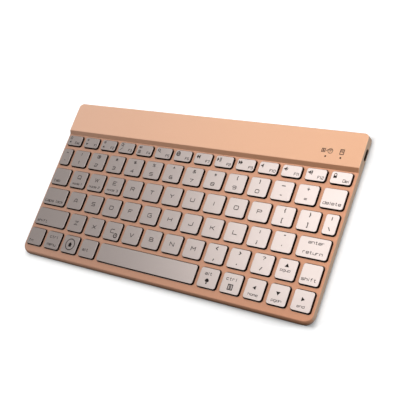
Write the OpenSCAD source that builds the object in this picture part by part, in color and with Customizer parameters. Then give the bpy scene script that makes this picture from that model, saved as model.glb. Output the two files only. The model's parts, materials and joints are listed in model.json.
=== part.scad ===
// Slim wireless keyboard for a tablet: a flat deck of low caps in front of a raised rear bar.
// Millimetres. X runs to the right, Y towards the raised bar, Z up. The origin is on the
// surface that the rubber feet rest on, under the middle of the case.

/* [Case] */
// Width of the case, the same as a 9.7-inch tablet held sideways
case_w = 240; // [238.5:0.5:242]
// Depth of the case, front edge to back edge
case_d = 121; // [120:0.5:124]
// Thickness of the case at the key deck
deck_t = 4.2; // [4.2:0.1:5]
// Height of the rear bar above the key deck
bar_rise = 1.7; // [1.4:0.1:3]
// Corner radius of the case at the front
front_corner_r = 6.5; // [4:0.5:9]
// Corner radius of the case at the back
back_corner_r = 3.5; // [2:0.5:5]
// Rounding along the top of the front edge
front_round = 1.6; // [0.5:0.1:1.7]

/* [Keys] */
// Distance from one letter key to the next
letter_pitch = 17.3; // [17:0.1:17.3]
// Distance from one row to the next
row_pitch = 16; // [15.6:0.1:16]
// Distance from one arrow key to the next
arrow_pitch = 16.3; // [16:0.1:16.6]
// Space between two neighbouring caps
cap_gap = 3.1; // [3:0.1:3.4]
// Height of a cap above the deck
cap_rise = 1.4; // [1.2:0.1:1.5]
// How far a key goes down
key_travel = 1.3; // [1:0.1:1.3]
// Corner radius of a cap
cap_corner_r = 1.6; // [1:0.1:2]
// Depth of the short caps in the function row
function_cap_d = 8; // [7.5:0.1:8]

/* [Power switch] */
// How far the power switch slides, from off to on
switch_travel = 2.4; // [2:0.2:3]

/* [Hidden] */
$fn = 48;
seen_all = 0.01;    // cutters pass through a face by this much

// --- levels, from the resting surface up ---
foot_t = 0.8;
base_z = foot_t;
floor_t = 0.8;
floor_top_z = base_z + floor_t;
plate_t = 0.3;
plate_z = floor_top_z + 0.1;
membrane_t = 0.25;
membrane_z = plate_z + plate_t;
membrane_top_z = membrane_z + membrane_t;
parting_z = base_z + deck_t / 2;
deck_z = base_z + deck_t;
skin_t = 1;
bar_z = deck_z + bar_rise;
cap_top_z = deck_z + cap_rise;
cap_roof_t = 0.9;
cap_roof_z = cap_top_z - cap_roof_t;
cap_bottom_z = membrane_top_z + 0.25 + key_travel;
plunger_h = 0.5;
dome_h = cap_roof_z - plunger_h - 0.05 - membrane_top_z;

// --- case walls ---
wall_t = 1.2;
lip_gap = 0.1;
lip_t = 0.6;
lip_h = 0.7;
board_inset = wall_t + lip_gap + lip_t + 0.3;   // clear of the locating lip
back_round = 0.8;

// --- key field ---
side_margin = 2.35;
front_margin = 6.3;
field_x0 = -case_w / 2 + side_margin;
field_x1 = -field_x0;
field_w = field_x1 - field_x0;
field_y0 = -case_d / 2 + front_margin;
cap_d = row_pitch - cap_gap;
cap_w = letter_pitch - cap_gap;
hole_gap = 0.45;
skirt_t = 0.7;
function_row = 5;
function_count = 14;
function_pitch = floor((field_w + cap_gap) / function_count * 100) / 100;

// --- rear bar ---
ramp_foot_y = field_y0 + function_row * row_pitch + function_cap_d + 1.3;
ramp_run = 2.6;
ramp_top_y = ramp_foot_y + ramp_run;
seam = 0.05;

// Widths of the first cap of each row, front row first. The shift fills what ten letters
// and two arrow keys leave over.
fn_w = 14.5;
caps_lock_w = 21;
tab_w = 15.7;
backtick_w = 9.1;
shift_w = field_w - 10 * letter_pitch - 2 * arrow_pitch;

// A key is [name, row, left edge, width]. Columns are counted in letter pitches from the
// right edge of a row's first cap.
function after(lead_w, column) = field_x0 + lead_w + cap_gap + column * letter_pitch;
function letters(row, lead_w, names) =
    [for (i = [0:len(names) - 1]) [names[i], row, after(lead_w, i), cap_w]];
function filler(name, row, lead_w, column, x1) =
    [name, row, after(lead_w, column), x1 - after(lead_w, column)];
function arrow(name, row, from_right) =
    [name, row, field_x1 - from_right * arrow_pitch - (arrow_pitch - cap_gap), arrow_pitch - cap_gap];

fn_row = concat(
    [["key_fn", 0, field_x0, fn_w]],
    letters(0, fn_w, ["key_ctrl_left", "key_system", "key_alt_left"]),
    [filler("key_space", 0, fn_w, 3, field_x1 - 3 * arrow_pitch - 2 * letter_pitch)],
    [for (i = [0:1]) [["key_alt_right", "key_ctrl_right"][i], 0,
        field_x1 - 3 * arrow_pitch - (2 - i) * letter_pitch + cap_gap, cap_w]],
    [arrow("key_arrow_left", 0, 2), arrow("key_arrow_down", 0, 1), arrow("key_arrow_right", 0, 0)]);
shift_row = concat(
    [["key_shift_left", 1, field_x0, shift_w]],
    letters(1, shift_w, ["key_z", "key_x", "key_c", "key_v", "key_b", "key_n", "key_m",
        "punctuation_keys", "punctuation_keys", "punctuation_keys"]),
    [arrow("key_arrow_up", 1, 1), arrow("key_shift_right", 1, 0)]);
home_row = concat(
    [["key_caps_lock", 2, field_x0, caps_lock_w]],
    letters(2, caps_lock_w, ["key_a", "key_s", "key_d", "key_f", "key_g", "key_h", "key_j",
        "key_k", "key_l", "punctuation_keys", "punctuation_keys"]),
    [filler("key_enter", 2, caps_lock_w, 11, field_x1)]);
top_row = concat(
    [["key_tab", 3, field_x0, tab_w]],
    letters(3, tab_w, ["key_q", "key_w", "key_e", "key_r", "key_t", "key_y", "key_u", "key_i",
        "key_o", "key_p", "punctuation_keys", "punctuation_keys"]),
    [filler("punctuation_keys", 3, tab_w, 12, field_x1)]);
number_row = concat(
    [["punctuation_keys", 4, field_x0, backtick_w]],
    [for (i = [0:11]) [i < 10 ? "number_keys" : "punctuation_keys", 4, after(backtick_w, i), cap_w]],
    [filler("key_delete", 4, backtick_w, 12, field_x1)]);
top_edge_row = [for (i = [0:function_count - 1])
    ["function_keys", function_row, field_x0 + i * function_pitch, function_pitch - cap_gap]];
KEYS = concat(fn_row, shift_row, home_row, top_row, number_row, top_edge_row);

function key_depth(key) = key[1] == function_row ? function_cap_d : cap_d;
function key_x(key) = key[2] + key[3] / 2;
function key_y(key) = field_y0 + key[1] * row_pitch + key_depth(key) / 2;

GROUPS = ["number_keys", "punctuation_keys", "function_keys"];
function grouped(name) = len([for (group = GROUPS) if (group == name) group]) > 0;
SINGLES = [for (key = KEYS) if (!grouped(key[0])) key[0]];

// --- screws: one line at the back of the bar, two lines in the webs between rows ---
bar_screw_y = case_d / 2 - 3.1;
bar_screw_x = [-112, -84, 14, 108];
deck_screw_x = [-75, 0, 75];
deck_screw_rows = [2, 4];
deck_screws = [for (row = deck_screw_rows) for (x = deck_screw_x)
    [x, field_y0 + row * row_pitch - cap_gap / 2]];
bar_screws = [for (x = bar_screw_x) [x, bar_screw_y]];
all_screws = concat(deck_screws, bar_screws);
deck_post_r = 1;
bar_post_r = 1.5;
screw_r = 0.5;
screw_hole_r = 0.55;
screw_head_r = 1.1;
screw_head_h = 0.5;
screw_clearance_r = 0.7;
boss_r = 1.8;
boss_top_z = plate_z + plate_t + membrane_t - 0.05;
screw_top_z = deck_z - skin_t - 0.1;
boss_clearance_r = 2.1;

// --- electronics in the rear bar ---
battery_x0 = -76;
battery_l = 82;
battery_w = 15;
battery_h = 3.4;
cell_y0 = ramp_top_y + 2.2;
board_x0 = 22;
board_x1 = case_w / 2 - 6;
board_y0 = ramp_top_y + 1.8;
board_d = 15.8;
board_t = 0.8;
board_z = 1.9;
board_top_z = board_z + board_t;
connector_x = board_x0 + 7;
connector_y = board_y0 + 1;
tail_w = 18;
tail_z = board_top_z + 0.4;
light_x = [field_x1 - 21.9, field_x1 - 11.7];
light_y = field_y0 + 96.7;
light_r = 0.5;
light_hole_r = 0.55;
led_h = 0.6;

// --- charging socket in the right wall, power switch in the back wall ---
socket_y = field_y0 + 101.9;
socket_z = parting_z;
socket_w = 7.5;
socket_h = 2.6;
socket_l = 5.4;
socket_wall_t = 0.3;
socket_x1 = case_w / 2 - 0.2;
switch_x = 78;
switch_z = parting_z + 1.1;
knob_l = 3;
knob_h = 1.3;
slot_l = knob_l + switch_travel + 0.6;
slot_h = 1.6;
slider_l = knob_l + 1.2;
slider_d = 1.6;
slider_h = 1.4;
slider_y1 = case_d / 2 - wall_t - 0.3;

// --- feet ---
foot_l = 14;
foot_w = 6;
foot_inset_x = 22;
foot_inset_y = 8;

// A rectangle with round corners, centred.
module rounded_rect(w, d, r) {
    square([w - 2 * r, d], center = true);
    square([w, d - 2 * r], center = true);
    for (x = [-1, 1])
        for (y = [-1, 1])
            translate([x * (w / 2 - r), y * (d / 2 - r)]) circle(r);
}

// The outline of the case from above, drawn in by inset on every side.
module case_outline(inset = 0) {
    w = case_w / 2 - inset;
    d = case_d / 2 - inset;
    front_r = front_corner_r - inset;
    back_r = back_corner_r - inset;
    front_d = d - front_r;
    back_d = d - back_r;
    translate([-w, -front_d]) square([2 * w, front_d + back_d]);
    translate([-w + front_r, -d]) square([2 * (w - front_r), front_r + seen_all]);
    translate([-w + back_r, back_d - seen_all]) square([2 * (w - back_r), back_r + seen_all]);
    for (side = [-1, 1]) {
        translate([side * (w - front_r), -front_d]) circle(front_r);
        translate([side * (w - back_r), back_d]) circle(back_r);
    }
}

module case_block(inset, z0, z1) {
    translate([0, 0, z0]) linear_extrude(z1 - z0) case_outline(inset);
}

// A profile in the Y-Z plane, run across the whole width of the case.
module across() {
    rotate([90, 0, 90]) linear_extrude(case_w + 2, center = true) children();
}

// Side view of the case: rounded front edge, flat deck, ramp up to the bar, rounded back edge.
module side_profile() {
    y0 = -case_d / 2;
    y1 = case_d / 2;
    polygon([[y0, 0], [y1, 0], [y1, bar_z - back_round], [y1 - back_round, bar_z], [ramp_top_y, bar_z],
        [ramp_foot_y, deck_z], [y0 + front_round, deck_z], [y0, deck_z - front_round]]);
    translate([y0 + front_round, deck_z - front_round]) circle(front_round);
    translate([y1 - back_round, bar_z - back_round]) circle(back_round);
}

// Everything in front of y, or behind it when behind is true.
module half_space(y, behind) {
    translate([-case_w, behind ? y : y - 2 * case_d, -1])
        cube([2 * case_w, 2 * case_d, bar_z + 2]);
}

// The upper shell before it is parted into deck and bar: walls and roof, open below.
module upper_shell() {
    difference() {
        intersection() {
            case_block(0, parting_z, bar_z);
            across() side_profile();
        }
        case_block(wall_t, parting_z - seen_all, deck_z - skin_t);
    }
}

module screw_post(x, y, r, z1) {
    translate([x, y, boss_top_z]) cylinder(r = r, h = z1 - boss_top_z);
}

module screw_bores(points) {
    for (p = points)
        translate([p[0], p[1], boss_top_z - seen_all])
            cylinder(r = screw_hole_r, h = screw_top_z - boss_top_z + seen_all);
}

module key_hole(key) {
    translate([key_x(key), key_y(key), deck_z - skin_t - 1])
        linear_extrude(skin_t + 2)
            rounded_rect(key[3] + 2 * hole_gap, key_depth(key) + 2 * hole_gap, cap_corner_r + hole_gap);
}

module key_deck() {
    color("burlywood")
        difference() {
            union() {
                intersection() {
                    upper_shell();
                    half_space(ramp_foot_y - seam, false);
                }
                for (p = deck_screws) screw_post(p[0], p[1], deck_post_r, deck_z - skin_t / 2);
            }
            for (key = KEYS) key_hole(key);
            screw_bores(deck_screws);
        }
}

module wall_socket_cut() {
    translate([case_w / 2 - wall_t - 1, socket_y - socket_w / 2 - 0.2, socket_z - socket_h / 2 - 0.15])
        cube([wall_t + 2, socket_w + 0.4, socket_h + 0.3]);
}

module rear_bar() {
    color("burlywood")
        difference() {
            union() {
                intersection() {
                    upper_shell();
                    half_space(ramp_foot_y, true);
                }
                for (p = bar_screws) screw_post(p[0], p[1], bar_post_r, bar_z - skin_t / 2);
            }
            bar_hollow();
            wall_socket_cut();
            translate([switch_x - slot_l / 2, case_d / 2 - wall_t - 1, switch_z - slot_h / 2])
                cube([slot_l, wall_t + 2, slot_h]);
            for (x = light_x)
                translate([x, light_y, deck_z - skin_t]) cylinder(r = light_hole_r, h = bar_rise + skin_t + 1);
            screw_bores(bar_screws);
        }
}

// The taller space under the roof of the bar, leaving the screw posts standing.
module bar_hollow() {
    difference() {
        intersection() {
            case_block(wall_t, deck_z - skin_t - seen_all, bar_z - skin_t);
            half_space(ramp_top_y + wall_t, true);
        }
        for (p = bar_screws) screw_post(p[0], p[1], bar_post_r, bar_z);
    }
}

module bottom_cover() {
    color("tan")
        difference() {
            union() {
                difference() {
                    case_block(0, base_z, parting_z);
                    case_block(wall_t, floor_top_z, parting_z + seen_all);
                }
                locating_lip();
                for (p = all_screws)
                    translate([p[0], p[1], floor_top_z - seen_all])
                        cylinder(r = boss_r, h = boss_top_z - floor_top_z);
            }
            wall_socket_cut();
            for (p = all_screws) {
                translate([p[0], p[1], base_z - 1]) cylinder(r = screw_clearance_r, h = 4);
                translate([p[0], p[1], base_z - 1]) cylinder(r = screw_head_r + 0.1, h = 1 + screw_head_h + 0.1);
            }
        }
}

// A thin rib inside the wall that the upper shell drops over.
module locating_lip() {
    lip_out = wall_t + lip_gap;
    difference() {
        case_block(lip_out, floor_top_z - seen_all, parting_z + lip_h);
        case_block(lip_out + lip_t, floor_top_z - 1, parting_z + lip_h + 1);
        translate([case_w / 2 - 4, socket_y - socket_w / 2 - 0.4, floor_top_z - 1])
            cube([4, socket_w + 0.8, 5]);
        translate([switch_x - slot_l / 2 - 1.2, case_d / 2 - 4, floor_top_z - 1])
            cube([slot_l + 2.4, 4, 5]);
    }
}

// The flat area under the keys, shared by the steel plate and the membrane.
module key_bed(z0, t, tail) {
    y0 = -case_d / 2 + board_inset;
    y1 = ramp_foot_y - 0.7;
    w = case_w - 2 * board_inset;
    difference() {
        union() {
            translate([0, (y0 + y1) / 2, z0])
                linear_extrude(t) rounded_rect(w, y1 - y0, front_corner_r - board_inset);
            if (tail) membrane_tail(y1, z0, t);
        }
        for (p = deck_screws)
            translate([p[0], p[1], z0 - 1]) cylinder(r = boss_clearance_r, h = t + 2);
    }
}

// The tongue that carries the membrane's tracks up to the connector on the circuit board.
module membrane_tail(y0, z0, t) {
    rise_y = board_y0 - 1;
    translate([connector_x, y0 - 1, z0]) cube([tail_w, rise_y - y0 + 1, t]);
    translate([connector_x, rise_y - t, z0]) cube([tail_w, t, tail_z - z0 + t]);
    translate([connector_x, rise_y - t, tail_z]) cube([tail_w, connector_y - rise_y + t, t]);
}

module support_plate() {
    color("silver") key_bed(plate_z, plate_t, false);
}

module membrane() {
    color("lightgray") key_bed(membrane_z, membrane_t, true);
}

// Inner clear width that the folding links may take up under a cap.
function link_span(key) = min(11, min(key[3], key_depth(key)) - 2 * skirt_t - 0.6);
link_bar = 0.6;
link_arm = 9;
link_lift_angle = 16;
link_mid_z = (membrane_top_z + cap_roof_z) / 2;
function dome_r(key) = min(3.2, (link_span(key) - 4 * link_bar - 0.4) / 2);

module rubber_domes() {
    color("gainsboro")
        for (key = KEYS)
            translate([key_x(key), key_y(key), membrane_top_z]) dome(dome_r(key));
}

module dome(r) {
    shell_t = 0.35;
    top_r = r * 0.5;
    rotate_extrude()
        polygon([[r - shell_t, 0], [r, 0], [top_r, dome_h], [0, dome_h], [0, dome_h - 2 * shell_t],
            [top_r - shell_t, dome_h - 2 * shell_t]]);
}

// One open frame of a folding pair, lying along X.
module link_frame(length, width) {
    bar = link_bar;
    difference() {
        cube([length, width, bar], center = true);
        cube([length - 2 * bar, width - 2 * bar, bar + 1], center = true);
    }
}

// Two frames that cross at their middle, the inner one clear inside the outer one.
module link_pair(span) {
    inner_l = link_arm - 3 * link_bar;
    rotate([0, link_lift_angle, 0]) link_frame(link_arm, span);
    rotate([0, -link_lift_angle, 0]) link_frame(inner_l, span - 2 * link_bar - 0.2);
}

// The long caps are held level by a bent steel wire, and the longest has two link pairs.
wire_r = 0.4;
wire_arm_r = 0.35;
wire_min_w = 25;
two_link_min_w = 60;
function link_offsets(key) = key[3] > two_link_min_w ? [-key[3] / 4, key[3] / 4] : [0];

module rod(from, to, r) {
    run = to - from;
    flat = norm([run[0], run[1]]);
    translate(from)
        rotate([0, atan2(flat, run[2]), atan2(run[1], run[0])])
            translate([0, 0, -r / 2]) cylinder(r = r, h = norm(run) + r);
}

module level_wire(key) {
    half_w = key[3] / 2 - skirt_t - 2;
    front_y = -(key_depth(key) / 2 - skirt_t - wire_r - 0.1);
    high_z = cap_roof_z - wire_r - 0.1;
    low_z = membrane_top_z + wire_r + 0.1;
    back_y = 2;
    for (side = [-1, 1]) {
        top_corner = [side * half_w, front_y, high_z];
        low_corner = [side * half_w, back_y, low_z];
        rod(top_corner, low_corner, wire_arm_r);
        rod(low_corner, low_corner - [side * 1.5, 0, 0], wire_r);
    }
    rod([-half_w, front_y, high_z], [half_w, front_y, high_z], wire_r);
}

module scissor_links() {
    color("whitesmoke")
        for (key = KEYS) {
            for (x = link_offsets(key))
                translate([key_x(key) + x, key_y(key), link_mid_z])
                    rotate([0, 0, key[1] == function_row ? 0 : 90])
                        link_pair(link_span(key));
            if (key[3] > wire_min_w) translate([key_x(key), key_y(key), 0]) level_wire(key);
        }
}

module battery() {
    color("dimgray")
        translate([battery_x0, cell_y0, floor_top_z + 0.05]) {
            cube([battery_l, battery_w, battery_h]);
        }
}

module circuit_board() {
    color("darkgreen") {
        translate([board_x0, board_y0, board_z]) cube([board_x1 - board_x0, board_d, board_t]);
        translate([connector_x - 1, connector_y, board_top_z - seen_all]) cube([tail_w + 2, 3, 1.2]);
        translate([board_x0 + 38, board_y0 + 6, board_top_z - seen_all]) cube([6, 6, 0.9]);
        translate([board_x0 + 60, board_y0 + 7, board_top_z - seen_all]) cube([3.2, 2.5, 0.7]);
        translate([switch_x - 4, board_y0 + board_d - 3, board_top_z - seen_all]) cube([8, 3, 1.8]);
        for (x = light_x)
            translate([x - 0.8, light_y - 0.4, board_top_z - seen_all]) cube([1.6, 0.8, led_h]);
    }
}

module charge_socket() {
    color("silver")
        translate([socket_x1 - socket_l, socket_y - socket_w / 2, socket_z - socket_h / 2])
            difference() {
                cube([socket_l, socket_w, socket_h]);
                translate([0.8, socket_wall_t, socket_wall_t])
                    cube([socket_l, socket_w - 2 * socket_wall_t, socket_h - 2 * socket_wall_t]);
            }
    color("black")
        translate([socket_x1 - socket_l + 0.7, socket_y - 1.9, socket_z - 0.1]) cube([3.8, 3.8, 0.65]);
}

// The slider in its off position: a knob in the slot, on a carriage behind the wall.
module power_switch() {
    off_x = switch_x - switch_travel / 2;
    color("dimgray") {
        translate([off_x - knob_l / 2, slider_y1 - seen_all, switch_z - knob_h / 2])
            cube([knob_l, case_d / 2 - 0.15 - slider_y1, knob_h]);
        translate([off_x - slider_l / 2, slider_y1 - slider_d, switch_z - slider_h / 2])
            cube([slider_l, slider_d, slider_h]);
    }
}

module status_lights() {
    color("white")
        for (x = light_x)
            translate([x, light_y, board_top_z + led_h + 0.1])
                cylinder(r = light_r, h = bar_z - board_top_z - led_h - 0.1);
}

module rubber_feet() {
    color("dimgray")
        for (x = [-1, 1])
            for (y = [-1, 1])
                translate([x * (case_w / 2 - foot_inset_x), y * (case_d / 2 - foot_inset_y), 0])
                    linear_extrude(foot_t) rounded_rect(foot_l, foot_w, foot_w / 2 - seen_all);
}

module screws() {
    color("gray")
        for (p = all_screws)
            translate([p[0], p[1], base_z]) {
                cylinder(r = screw_head_r, h = screw_head_h);
                cylinder(r = screw_r, h = screw_top_z - base_z - 0.3);
            }
}

// A hollow cap with a short plunger over its dome.
module cap(key) {
    w = key[3];
    d = key_depth(key);
    r = cap_corner_r;
    translate([key_x(key), key_y(key), 0]) {
        difference() {
            translate([0, 0, cap_bottom_z]) linear_extrude(cap_top_z - cap_bottom_z) rounded_rect(w, d, r);
            translate([0, 0, cap_bottom_z - 1])
                linear_extrude(cap_roof_z - cap_bottom_z + 1)
                    rounded_rect(w - 2 * skirt_t, d - 2 * skirt_t, r - skirt_t);
        }
        translate([0, 0, cap_roof_z - plunger_h]) cylinder(r = dome_r(key) * 0.45, h = plunger_h + seen_all);
    }
}

// Every cap that belongs to a node: one for a single key, several for a group.
module caps(name) {
    color("silver")
        for (key = KEYS)
            if (key[0] == name) cap(key);
}

bottom_cover();
key_deck();
rear_bar();
support_plate();
membrane();
rubber_domes();
scissor_links();
battery();
circuit_board();
charge_socket();
power_switch();
status_lights();
rubber_feet();
screws();
for (name = concat(GROUPS, SINGLES))
    caps(name);
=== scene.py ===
import json
import math

import bmesh
import bpy
from mathutils import Matrix, Vector


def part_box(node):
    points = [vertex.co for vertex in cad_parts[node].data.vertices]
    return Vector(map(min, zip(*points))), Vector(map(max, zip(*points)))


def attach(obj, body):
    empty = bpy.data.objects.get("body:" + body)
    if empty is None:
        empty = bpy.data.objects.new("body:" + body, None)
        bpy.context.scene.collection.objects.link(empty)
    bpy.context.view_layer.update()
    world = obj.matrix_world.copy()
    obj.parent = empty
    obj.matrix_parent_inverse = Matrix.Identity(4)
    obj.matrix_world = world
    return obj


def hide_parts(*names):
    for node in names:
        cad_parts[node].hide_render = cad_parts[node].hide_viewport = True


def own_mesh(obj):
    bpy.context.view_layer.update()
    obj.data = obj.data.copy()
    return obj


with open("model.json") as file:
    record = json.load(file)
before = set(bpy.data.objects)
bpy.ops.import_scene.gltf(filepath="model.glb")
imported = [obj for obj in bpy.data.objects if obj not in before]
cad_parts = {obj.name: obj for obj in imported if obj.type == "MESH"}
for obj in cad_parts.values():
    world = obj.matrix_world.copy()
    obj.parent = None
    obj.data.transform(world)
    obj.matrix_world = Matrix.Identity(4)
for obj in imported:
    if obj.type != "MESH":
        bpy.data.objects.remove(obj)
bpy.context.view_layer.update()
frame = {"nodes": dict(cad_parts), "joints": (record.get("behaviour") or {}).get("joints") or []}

# Shapes are worked out in millimetres in the frame's own axes, and each mesh is scaled to
# metres as it is made. X runs to the right, Y to the raised bar, Z up.
MM = 0.001
AXES = [Vector((1, 0, 0)), Vector((0, 1, 0)), Vector((0, 0, 1))]
X_AXIS, Y_AXIS, Z_AXIS = AXES
ROOT = "case"


# ---------------- sizes from the frame

def node_box(node):
    """Lowest and highest corners of a CAD node, in millimetres."""
    low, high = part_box(node)
    return low / MM, high / MM


SORTING_STEP = 4   # solids whose fronts are closer than this are in the same row


def solid_boxes(node):
    """The box of each separate solid in a node: back row first, and left to right in a row."""
    bm = bmesh.new()
    bm.from_mesh(frame["nodes"][node].data)
    bmesh.ops.remove_doubles(bm, verts=bm.verts, dist=1e-7)
    left = set(bm.verts)
    boxes = []
    while left:
        stack = [left.pop()]
        points = []
        while stack:
            vert = stack.pop()
            points.append(vert.co / MM)
            near = left.intersection(edge.other_vert(vert) for edge in vert.link_edges)
            left -= near
            stack += near
        boxes.append([Vector([pick(p[i] for p in points) for i in range(3)]) for pick in (min, max)])
    bm.free()
    return sorted(boxes, key=lambda b: (-round(b[0].y / SORTING_STEP), b[0].x))


cover_low, cover_high = node_box("bottom_cover")
deck_low, deck_high = node_box("key_deck")
bar_low, bar_high = node_box("rear_bar")
case_x = cover_high.x
case_front = cover_low.y
case_back = cover_high.y
base_z = cover_low.z
deck_z = deck_high.z
BAR_PRINT_ROOM = 0.03
bar_z = bar_high.z - BAR_PRINT_ROOM   # printed marks on the bar stay inside the CAD box
parting_z = (base_z + deck_z) / 2
membrane_top = node_box("rubber_domes")[0].z

FRONT_CORNER = 6.5
BACK_CORNER = 3.5
FRONT_EDGE = (1.8, 1.9)   # how far the edge leans in, and how far it drops
SIDE_EDGE = (0.55, 0.55)
BACK_EDGE = (0.8, 0.8)
FRONT_SWEEP = 62          # degrees that the front edge's rounding turns through
BACK_SWEEP = 90
BASE_ROUND = 0.7
WALL = 1.2
SKIN = 1.0
FLOOR = 0.8
RAMP_RUN = 2.6
RAMP_EASE = 0.45
GROOVE = 0.14             # depth, and half the width, of the line where the shells meet
RIM_LIFT = 0.01           # the upper shells' rims stay this far clear of the lower one's

# Radii round the screws, from the recess for the head to the posts of the three shells, and
# the depth of that recess.
HEAD_HOLE = 1.2
SHANK_HOLE = 0.7
THREAD_HOLE = 0.55
DECK_POST = 1.0
BAR_POST = 1.5
BASE_POST = 1.8
HEAD_DEPTH = 0.6


# ---------------- mesh helpers

SHARP_ANGLE = math.radians(35)


def add_object(name, data):
    thing = bpy.data.objects.new(name, data)
    bpy.context.scene.collection.objects.link(thing)
    return thing


def finish_mesh(bm, name, material, body=ROOT, replaces=()):
    """Turn a bmesh in millimetres into a piece that rides on a body."""
    bmesh.ops.recalc_face_normals(bm, faces=bm.faces)
    bmesh.ops.scale(bm, vec=(MM, MM, MM), verts=bm.verts)
    mesh = bpy.data.meshes.new(name)
    bm.to_mesh(mesh)
    bm.free()
    mesh.materials.append(material)
    mesh.shade_smooth()
    mesh.set_sharp_from_angle(angle=SHARP_ANGLE)
    piece = add_object(name, mesh)
    piece.modifiers.new("even_normals", "WEIGHTED_NORMAL").keep_sharp = True
    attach(piece, body)
    if replaces:
        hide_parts(*replaces)
    return piece


def band(bm, lower, upper):
    """Join two closed loops of equally many points with quads."""
    for i in range(len(lower)):
        j = (i + 1) % len(lower)
        bm.faces.new((lower[i], lower[j], upper[j], upper[i]))


def loft(bm, rings, close_ends=True):
    """Join rings of equally many points, one after another. Closed ends make it a solid."""
    loops = [[bm.verts.new(p) for p in ring] for ring in rings]
    for lower, upper in zip(loops, loops[1:]):
        band(bm, lower, upper)
    if close_ends:
        bm.faces.new(list(reversed(loops[0])))
        bm.faces.new(loops[-1])
    return loops


def loft_round(bm, rings):
    """A closed tube: the last ring joins back to the first."""
    loops = loft(bm, rings, close_ends=False)
    band(bm, loops[-1], loops[0])


def quarter_turn(steps):
    """Sine and cosine at even steps from nothing to a right angle."""
    angles = [i / steps * math.pi / 2 for i in range(steps + 1)]
    return [(math.sin(a), math.cos(a)) for a in angles]


MERGE = 1e-4         # points closer than this after a cut are one point
LEAST_RADIUS = 0.02
LEAST_FLAT = 0.005   # keeps the ends of two round corners from falling on one point


def rounded_ring(centre, width, depth, radius, u, v, steps):
    """A rectangle with round corners in the plane of u and v, as a ring of points."""
    radius = min(max(radius, LEAST_RADIUS), min(width, depth) / 2 - LEAST_FLAT)
    ring = []
    for quarter, (side_u, side_v) in enumerate([(1, 1), (-1, 1), (-1, -1), (1, -1)]):
        for i in range(steps + 1):
            angle = (quarter + i / steps) * math.pi / 2
            across = side_u * (width / 2 - radius) + radius * math.cos(angle)
            along = side_v * (depth / 2 - radius) + radius * math.sin(angle)
            ring.append(centre + u * across + v * along)
    return ring


def circle_ring(centre, radius, steps=24):
    """A level circle, as a ring of points."""
    angles = [2 * math.pi * i / steps for i in range(steps)]
    return [centre + X_AXIS * (radius * math.cos(a)) + Y_AXIS * (radius * math.sin(a)) for a in angles]


def column(point, z=0):
    """The point at height z on the upright line through another point."""
    return Vector((point.x, point.y, z))


def turned(bm, centre, profile, steps=24):
    """A closed solid turned on an upright axis. The profile is (radius, height) pairs."""
    loft(bm, [circle_ring(centre + Z_AXIS * h, r, steps) for r, h in profile])


def tube(bm, point, outer, inner, z0, z1):
    """A round post with a bore."""
    walls = [(outer, z0), (outer, z1), (inner, z1), (inner, z0)]
    loft_round(bm, [circle_ring(column(point, z), r) for r, z in walls])


def prism_ring(low, high, place, grow, radius, axis, steps=5):
    """The outline of a box grown by some amount, seen along an axis, at a place on that axis."""
    across, along = [i for i in range(3) if i != axis]
    size = high - low
    at = (low + high) / 2
    at[axis] = place
    width = size[across] + 2 * grow
    depth = size[along] + 2 * grow
    return rounded_ring(at, width, depth, radius, AXES[across], AXES[along], steps)


def prism(bm, low, high, radius, levels, axis=2, steps=5):
    """A closed solid with the outline of a box. Each level is (place on the axis, growth)."""
    loft(bm, [prism_ring(low, high, place, grow, radius + grow, axis, steps) for place, grow in levels])


def slab(bm, low, high, radius, edge, steps=3):
    """A box with rounded corners seen from above and rounded top and bottom edges."""
    turn = quarter_turn(steps)
    levels = [(low.z + edge * (1 - sine), edge * (cosine - 1)) for sine, cosine in reversed(turn)]
    levels += [(high.z - edge * (1 - sine), edge * (cosine - 1)) for sine, cosine in turn]
    prism(bm, low, high, radius, levels)


def carve(bm, cutter):
    """Cut the closed solids of one bmesh out of another, and return the result."""
    objects = []
    for solid in (bm, cutter):
        bmesh.ops.recalc_face_normals(solid, faces=solid.faces)
        mesh = bpy.data.meshes.new("carve")
        solid.to_mesh(mesh)
        solid.free()
        objects.append(add_object("carve", mesh))
    body, tool = objects
    cut = body.modifiers.new("cut", "BOOLEAN")
    cut.operation = "DIFFERENCE"
    cut.solver = "EXACT"
    cut.object = tool
    bpy.context.view_layer.update()
    shaped = body.evaluated_get(bpy.context.evaluated_depsgraph_get())
    result = bmesh.new()
    result.from_mesh(shaped.to_mesh())
    for thing in objects:
        bpy.data.objects.remove(thing)
    bmesh.ops.remove_doubles(result, verts=result.verts, dist=MERGE)
    bmesh.ops.dissolve_degenerate(result, edges=result.edges, dist=MERGE)
    return result


# ---------------- materials

def add_node(tree, kind, inputs, **settings):
    """A new shader node. Each input is a plain value or another node's output."""
    node = tree.nodes.new("ShaderNode" + kind)
    for name, value in settings.items():
        setattr(node, name, value)
    for name, value in inputs.items():
        if isinstance(value, bpy.types.NodeSocket):
            tree.links.new(value, node.inputs[name])
        else:
            node.inputs[name].default_value = value
    return node.outputs


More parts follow.
